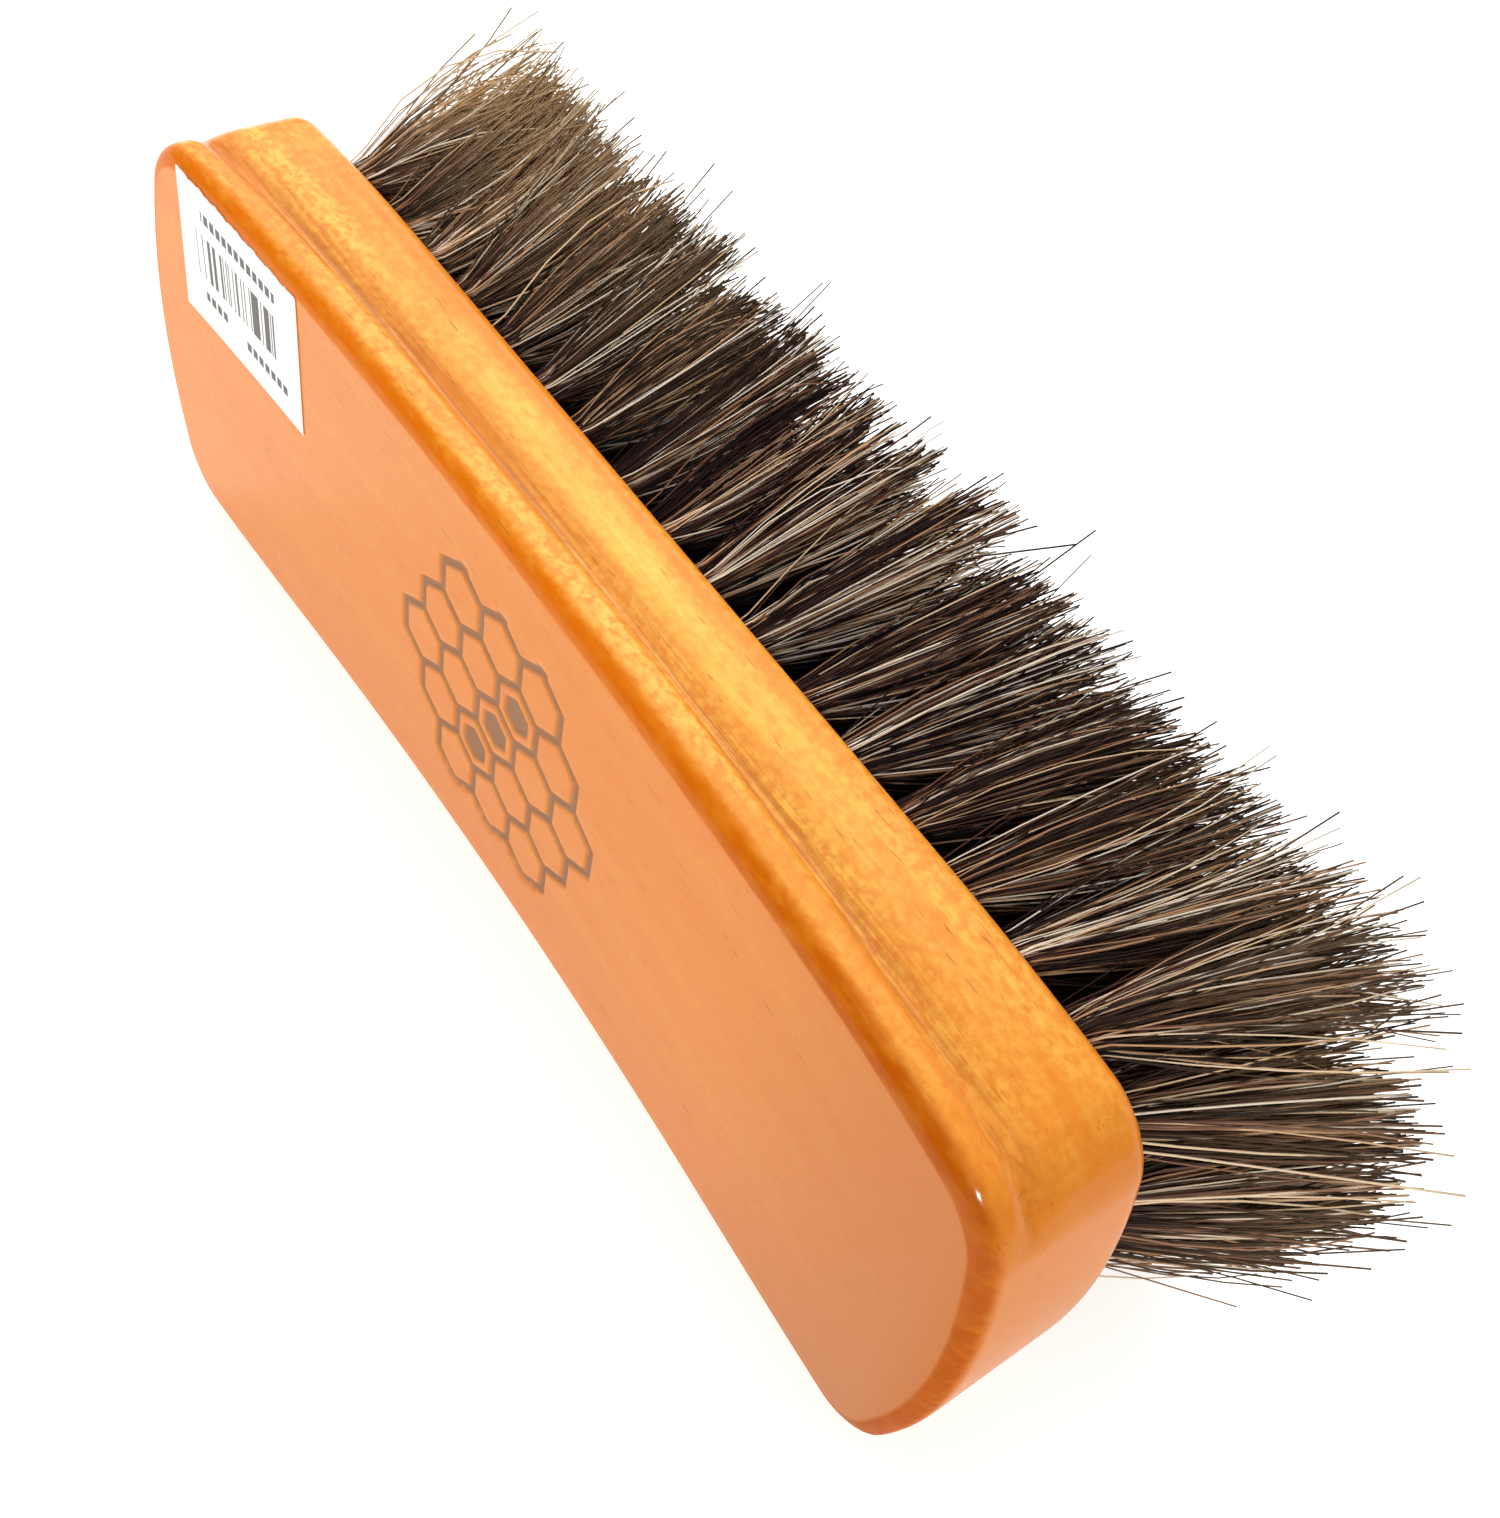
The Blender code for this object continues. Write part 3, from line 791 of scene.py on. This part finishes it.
def strand_tips(row, draw, group, root_disc):
    """Where each strand ends. Tufts by the far end are wilder and lean inwards."""
    loose_disc = root_disc + random_disc(draw, group.total) * LOOSE_SHIFT
    tip_disc = np.where(group.loose[:, None], loose_disc, group.place)
    spread = TIP_SPREAD * draw.normal(1, TUFT_SPREAD_CHANGE, group.tufts)[group.tuft][:, None]
    tip_x, tip_z = tip_centre(row, group.alongs)
    gather = NEAR_GATHER[row] * group.near
    tips = np.stack([tip_x + FAR_LEAN[row] * group.far ** 2 - gather, tip_z - gather], 1)
    tips += tip_disc * TIP_CELL * spread
    tips += draw.normal(0, TUFT_TIP_SHIFT, (group.tufts, 2))[group.tuft]
    wildness = 1 + FAR_JITTER * group.far + NEAR_JITTER * group.near
    jitter = np.where(group.loose, LOOSE_JITTER, TIGHT_JITTER) * wildness
    jitter = np.where(group.stray, STRAY_JITTER, jitter)
    return tips + draw.normal(0, 1, (group.total, 2)) * jitter[:, None]


def strand_lengths(draw, group):
    """Length of each strand: nearly even, but for the short ones and the strays."""
    wisp_change = draw.normal(0, WISP_LENGTH_SPREAD, (group.tufts, WISPS))[group.tuft, group.wisp]
    change = draw.normal(0, OWN_LENGTH_SPREAD, group.total) + wisp_change
    length = HAIR_LENGTH * (1 + np.clip(change, *LENGTH_LIMITS))
    short = draw.uniform(0, 1, group.total) < SHORT_SHARE
    length = np.where(short, length * draw.uniform(*SHORT_LENGTHS, group.total), length)
    return np.where(group.stray, length * draw.uniform(*STRAY_LENGTHS, group.total), length)


def strand_bends(draw, group):
    """How far and which way each strand bows sideways, partly with its wisp."""
    own = np.where(group.loose, LOOSE_BEND, TIGHT_BEND) * (1 + group.far)
    own = np.where(group.stray, STRAY_BEND, own)
    bend = draw.normal(0, 1, (group.total, 2)) * own[:, None]
    return bend + draw.normal(0, WISP_BEND, (group.tufts, WISPS, 2))[group.tuft, group.wisp]


def strand_shades(row, draw, group, share, height):
    """What the hair material reads: tone, how much lighter the tips are, share along the strand, and depth
    of painted shade.
    """
    wisp_tone = draw.normal(0, WISP_TONE, (group.tufts, WISPS))[group.tuft, group.wisp]
    tone = draw.uniform(0, 1, group.total) + wisp_tone + FAR_TONE * group.far
    bleach_and_glow = (group.far ** 0.5 + NEAR_BLEACH_AND_GLOW * group.near) * draw.uniform(*BLEACH_AND_GLOW_RANGE, group.total)
    inside = 1 - np.maximum(group.near, group.far)
    return {
        "tone": np.clip(tone, 0, 1)[:, None],
        "bleach_and_glow": np.clip(bleach_and_glow, 0, 1)[:, None],
        "along": np.linspace(0, 1, STRAND_STATIONS)[None, :],
        "depth": inner_shade(row, share, height) * inside[:, None],
    }


def row_strands(row, draw):
    """Centre lines (strands x stations x 3) of one row's strands, and their radii and shades.

    A tuft's strands gather in wisps, which keep their places from the hole to the tips; a share
    of them lies loose. A disc is in units of the tuft's own radius.
    """
    group = strand_groups(row, draw)
    root_disc = group.place * WISP_GATHER + random_disc(draw, group.total) * OWN_SHIFT
    roots = np.stack([group.alongs, np.full(group.total, row_z(row))], 1) + root_disc * ROOT_RADIUS
    tips = strand_tips(row, draw, group, root_disc)
    length = strand_lengths(draw, group)
    bend = strand_bends(draw, group)
    out = -ROOT_DEEP + (length[:, None] + ROOT_DEEP) * np.linspace(0, 1, STRAND_STATIONS)
    share = np.clip(out / HAIR_LENGTH, 0, None)
    side = roots[:, None, :] + (tips - roots)[:, None, :] * (share ** FAN_POWER)[:, :, None]
    side += bend[:, None, :] * (share * (1 - share) * BEND_SHAPE)[:, :, None]
    paths = np.stack([side[:, :, 0], FACE_Y + out, side[:, :, 1]], 2)
    paths[:, :, 2] = np.maximum(paths[:, :, 2], FLOOR_GAP)
    shades = strand_shades(row, draw, group, share, root_disc[:, 1:])
    thick = 1.0 if row == 0 else HIDDEN_THICK
    return paths, draw.uniform(*STRAND_RADII, group.total) * MM * thick, shades


def inner_shade(row, share, height):
    """How much painted shade darkens a strand inside the brush: only the top of the upper row is left lit
    near its root.
    """
    if row == 0:
        return np.clip((1 - smooth_step(*TOP_ROW_FADE, share)) * (0.55 - 0.85 * height), 0, 0.95)
    return 0.97 * (1 - smooth_step(*INNER_FADE, share))


def hair_mesh(name, paths, radii, shades):
    """Tubes round the centre lines, tapered to the tip, with one small map cell for each strand."""
    total, stations, _ = paths.shape
    tangent = unit(np.gradient(paths, axis=1))
    side = unit(np.cross(tangent, (0.31, 0.0, 0.95)))
    other = np.cross(tangent, side)
    taper = np.linspace(1, STRAND_TIP_SHARE, stations)
    angles = np.arange(STRAND_SIDES) * math.tau / STRAND_SIDES
    thick = (radii[:, None] * taper)[:, :, None, None]
    ring = side[:, :, None, :] * np.cos(angles)[:, None] + other[:, :, None, :] * np.sin(angles)[:, None]
    points = paths[:, :, None, :] + ring * thick
    index = np.arange(total * stations * STRAND_SIDES).reshape(total, stations, STRAND_SIDES)
    after = np.roll(index, -1, axis=2)
    quads = np.stack([index[:, :-1], after[:, :-1], after[:, 1:], index[:, 1:]], -1).reshape(-1, 4)
    mesh = bpy.data.meshes.new(name)
    mesh.vertices.add(index.size)
    mesh.vertices.foreach_set("co", points.astype(np.float32).ravel())
    mesh.loops.add(quads.size)
    mesh.loops.foreach_set("vertex_index", quads.astype(np.int32).ravel())
    mesh.polygons.add(len(quads))
    mesh.polygons.foreach_set("loop_start", np.arange(0, quads.size, 4, dtype=np.int32))
    mesh.update(calc_edges=True)
    for label, values in shades.items():
        layer = mesh.attributes.new(label, "FLOAT", "POINT")
        every = np.broadcast_to(values[:, :, None], index.shape)
        layer.data.foreach_set("value", every.astype(np.float32).ravel())
    add_strand_map(mesh, total, stations)
    mesh.shade_smooth()
    return mesh


def add_strand_map(mesh, total, stations):
    """A UV cell for each strand, so that a baked colour map keeps strand from strand."""
    columns = math.ceil(math.sqrt(total * 3))
    rows = math.ceil(total / columns)
    number = np.arange(total)
    left = (number % columns + 0.1) / columns
    low = (number // columns + 0.1) / rows
    wide, high = 0.8 / columns, 0.8 / rows
    corner_u = np.array([0, 1, 1, 0])
    corner_v = np.array([0, 0, 1, 1])
    side = np.arange(STRAND_SIDES)
    step = np.arange(stations - 1)
    u = left[:, None, None, None] + wide * (side[None, None, :, None] + corner_u) / STRAND_SIDES
    v = low[:, None, None, None] + high * (step[None, :, None, None] + corner_v) / (stations - 1)
    u, v = np.broadcast_arrays(u, v)
    layer = mesh.uv_layers.new(name="OFBake")
    layer.data.foreach_set("uv", np.stack([u, v], -1).astype(np.float32).ravel())


def make_hair():
    """The five rows of strands, drawn one after the other from one seeded generator."""
    draw = np.random.default_rng(SEED)
    finish = hair_material()
    for row in range(ROWS):
        name = f"horsehair_{row + 1}"
        mesh = hair_mesh(name, *row_strands(row, draw))
        add_piece(name, mesh, finish, "horsehair", f"hair_row_{row + 1}")


# ---------------------------------------------------------------- stage


FLOOR_HALF = 3.0

# Area lights: direction from the object, distance, size and watts
LIGHTS = {
    "spot": ((0.55, -0.51, 0.66), 0.9, 0.06, 1.8),
    "glint": ((0.55, -0.51, 0.66), 0.9, 0.14, 6.0),
    "main": ((-0.57, 0.425, 0.70), 0.9, 0.3, 3.5),
    "fill": ((-0.62, -0.72, 0.30), 0.3, 0.15, 0.12),
}
ONLY_IN_GLOSS = ("glint",)
NEVER_IN_GLOSS = ("main", "fill")


def add_area_light(name, direction, distance, size, energy):
    """A square light that looks at the middle of the object and is itself unseen."""
    light = bpy.data.lights.new(name, "AREA")
    light.size = size
    light.energy = energy
    made = bpy.data.objects.new(name, light)
    bpy.context.scene.collection.objects.link(made)
    away = Vector(direction).normalized()
    middle = (CAD_BOX[0] + CAD_BOX[1]) / 2
    made.location = middle + away * distance
    made.rotation_euler = away.to_track_quat("Z", "Y").to_euler()
    made.visible_camera = False
    made.visible_glossy = name not in NEVER_IN_GLOSS
    made.visible_diffuse = name not in ONLY_IN_GLOSS


def make_stage():
    """The floor, the room round it and the lights."""
    bm = bmesh.new()
    bmesh.ops.create_grid(bm, x_segments=1, y_segments=1, size=FLOOR_HALF)
    mesh = bpy.data.meshes.new("floor")
    bm.to_mesh(mesh)
    bm.free()
    mesh.materials.append(floor_material())
    floor = bpy.data.objects.new("floor", mesh)
    bpy.context.scene.collection.objects.link(floor)
    make_world()
    for name, settings in LIGHTS.items():
        add_area_light(name, *settings)


ROOM_STRENGTH = 0.85
ROOM_LIGHT = (1.0, 0.985, 0.96, 1)

# Soft patches of the room: direction, cosines where the patch begins and is full, colour
ROOM_PATCHES = (
    ((1.0, 0.1, 0.15), 0.1, 0.9, (0.60, 0.58, 0.55, 1)),
    ((-0.48, -0.77, 0.42), 0.70, 0.90, (0.16, 0.13, 0.11, 1)),
    ((-0.56, 0.46, 0.69), 0.82, 0.97, (2.7, 2.6, 2.45, 1)),
)


def make_world():
    """A pale room: dimmer beyond the near end and where the viewer stands, with a soft window."""
    world = bpy.data.worlds.new("studio")
    bpy.context.scene.world = world
    world.use_nodes = True
    tree = world.node_tree
    direction = node(tree, "ShaderNodeTexCoord").outputs["Generated"]
    colour = ROOM_LIGHT
    for centre, begins, full, patch in ROOM_PATCHES:
        inputs = {0: direction, 1: Vector(centre).normalized()}
        facing = node(tree, "ShaderNodeVectorMath", inputs, operation="DOT_PRODUCT").outputs["Value"]
        colour = mixed(tree, mapped(tree, facing, begins, full), colour, patch)
    background = tree.nodes["Background"]
    tree.links.new(colour, background.inputs["Color"])
    background.inputs["Strength"].default_value = ROOM_STRENGTH


# Camera, fitted to the outline of the block
CAMERA_AT = Vector((99.2, -85.1, 182.4)) * MM
CAMERA_FORWARD = Vector((-0.4262, 0.4535, -0.7827))
CAMERA_ROLL = math.radians(14.8)
CAMERA_LENS = 40.0


def make_camera():
    """The camera looks down on the back and the upper side from beyond the near end."""
    data = bpy.data.cameras.new("camera")
    data.lens = CAMERA_LENS
    data.clip_start = 0.01
    camera = bpy.data.objects.new("camera", data)
    bpy.context.scene.collection.objects.link(camera)
    camera.location = CAMERA_AT
    camera.rotation_euler = CAMERA_FORWARD.to_track_quat("-Z", "Y").to_euler()
    camera.rotation_euler.rotate_axis("Z", CAMERA_ROLL)
    bpy.context.scene.camera = camera


def finish_staples():
    """The frame's own staples stay, and take the finish of drawn wire."""
    steel = steel_material()
    for name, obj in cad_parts.items():
        if name.startswith("staple_"):
            obj.data.materials.clear()
            obj.data.materials.append(steel)


make_block()
make_label()
make_hair()
finish_staples()
make_stage()
make_camera()
bpy.context.scene.view_settings.view_transform = "Standard"
bpy.context.view_layer.update()
